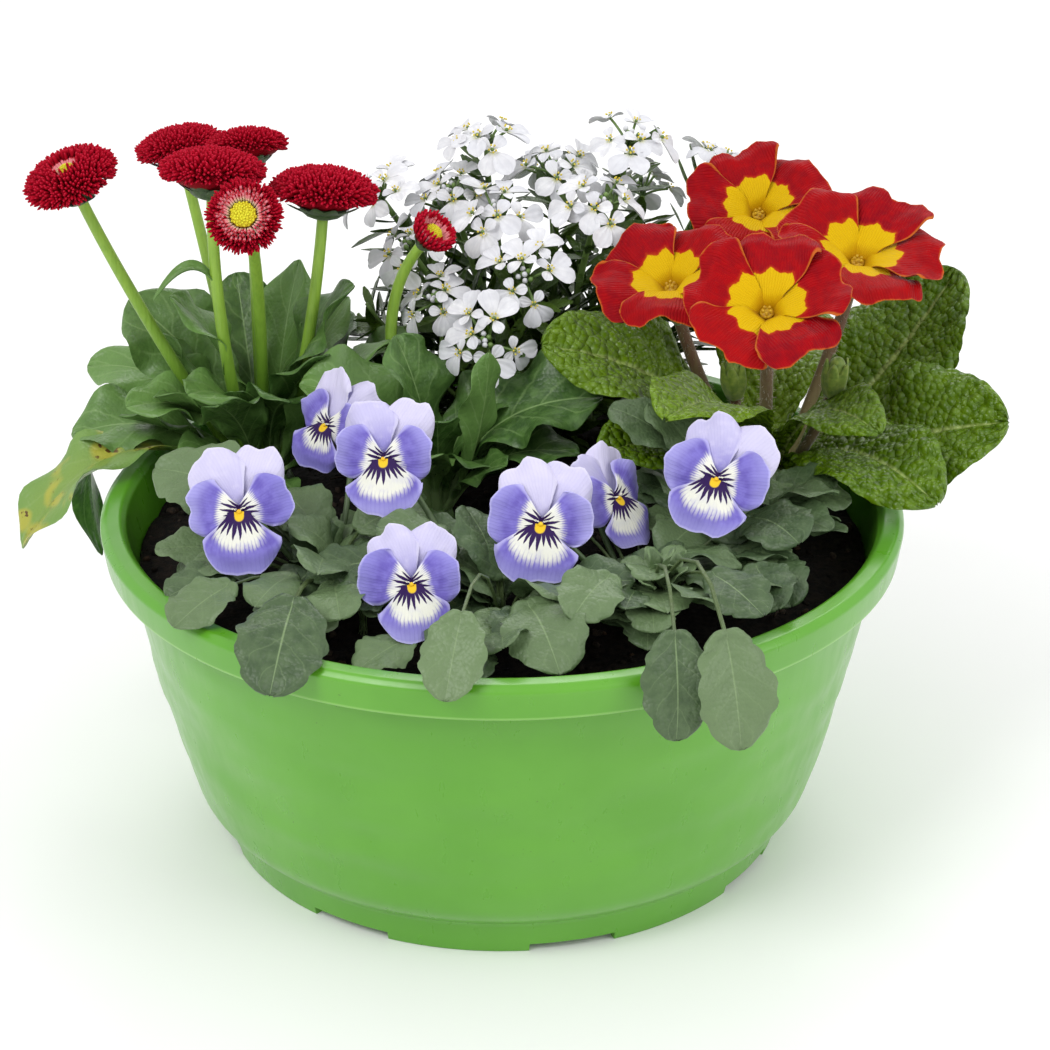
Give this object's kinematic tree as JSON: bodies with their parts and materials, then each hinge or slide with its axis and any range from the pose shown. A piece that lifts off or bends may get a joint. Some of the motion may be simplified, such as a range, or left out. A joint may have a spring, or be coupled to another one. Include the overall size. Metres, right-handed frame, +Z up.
{
  "type": "spring flower planter",
  "caption": "Round lime-green plastic bowl planted with crimson daisies, red primrose, white candytuft and blue and white horned violets",
  "frame": {"origin": "on the surface the bowl stands on, under the centre of the bowl's foot", "axes": "+Z up along the bowl's axis, -Y towards the viewer that the violets face, +X to that viewer's right"},
  "size_m": [0.3417, 0.2843, 0.2328],
  "materials": {
    "bowl": "satin injection-moulded lime green",
    "soil": "damp dark peat crumbs",
    "daisy_leaf": "smooth mid-green leaf",
    "daisy_red": "satin crimson florets",
    "daisy_disc": "matt yellow florets",
    "primrose_leaf": "quilted bright green leaf",
    "primrose_red": "velvety red petal",
    "candytuft_leaf": "satin dark green leaf",
    "candytuft_white": "matt white petal",
    "violet_leaf": "matt grey-green leaf",
    "violet_blue": "velvety blue-violet petal"
  },
  "bodies": {
    "root": {"bowl": "bowl", "candytuft_head_1": "candytuft_white", "candytuft_head_10": "candytuft_white", "candytuft_head_11": "candytuft_white", "candytuft_head_12": "candytuft_white", "candytuft_head_13": "candytuft_white", "candytuft_head_14": "candytuft_white", "candytuft_head_15": "candytuft_white", "candytuft_head_2": "candytuft_white", "candytuft_head_3": "candytuft_white", "candytuft_head_4": "candytuft_white", "candytuft_head_5": "candytuft_white", "candytuft_head_6": "candytuft_white", "candytuft_head_7": "candytuft_white", "candytuft_head_8": "candytuft_white", "candytuft_head_9": "candytuft_white", "candytuft_plant": "candytuft_leaf", "daisy_disc_1": "daisy_disc", "daisy_disc_5": "daisy_disc", "daisy_disc_7": "daisy_disc", "daisy_head_1": "daisy_red", "daisy_head_2": "daisy_red", "daisy_head_3": "daisy_red", "daisy_head_4": "daisy_red", "daisy_head_5": "daisy_red", "daisy_head_6": "daisy_red", "daisy_head_7": "daisy_red", "daisy_plant_1": "daisy_leaf", "daisy_plant_2": "daisy_leaf", "primrose_bloom_1": "primrose_red", "primrose_bloom_2": "primrose_red", "primrose_bloom_3": "primrose_red", "primrose_bloom_4": "primrose_red", "primrose_plant": "primrose_leaf", "soil": "soil", "violet_bloom_1": "violet_blue", "violet_bloom_2": "violet_blue", "violet_bloom_3": "violet_blue", "violet_bloom_4": "violet_blue", "violet_bloom_5": "violet_blue", "violet_bloom_6": "violet_blue", "violet_bloom_7": "violet_blue", "violet_plant_1": "violet_leaf", "violet_plant_2": "violet_leaf", "violet_plant_3": "violet_leaf", "violet_plant_4": "violet_leaf"}
  },
  "joints": []
}
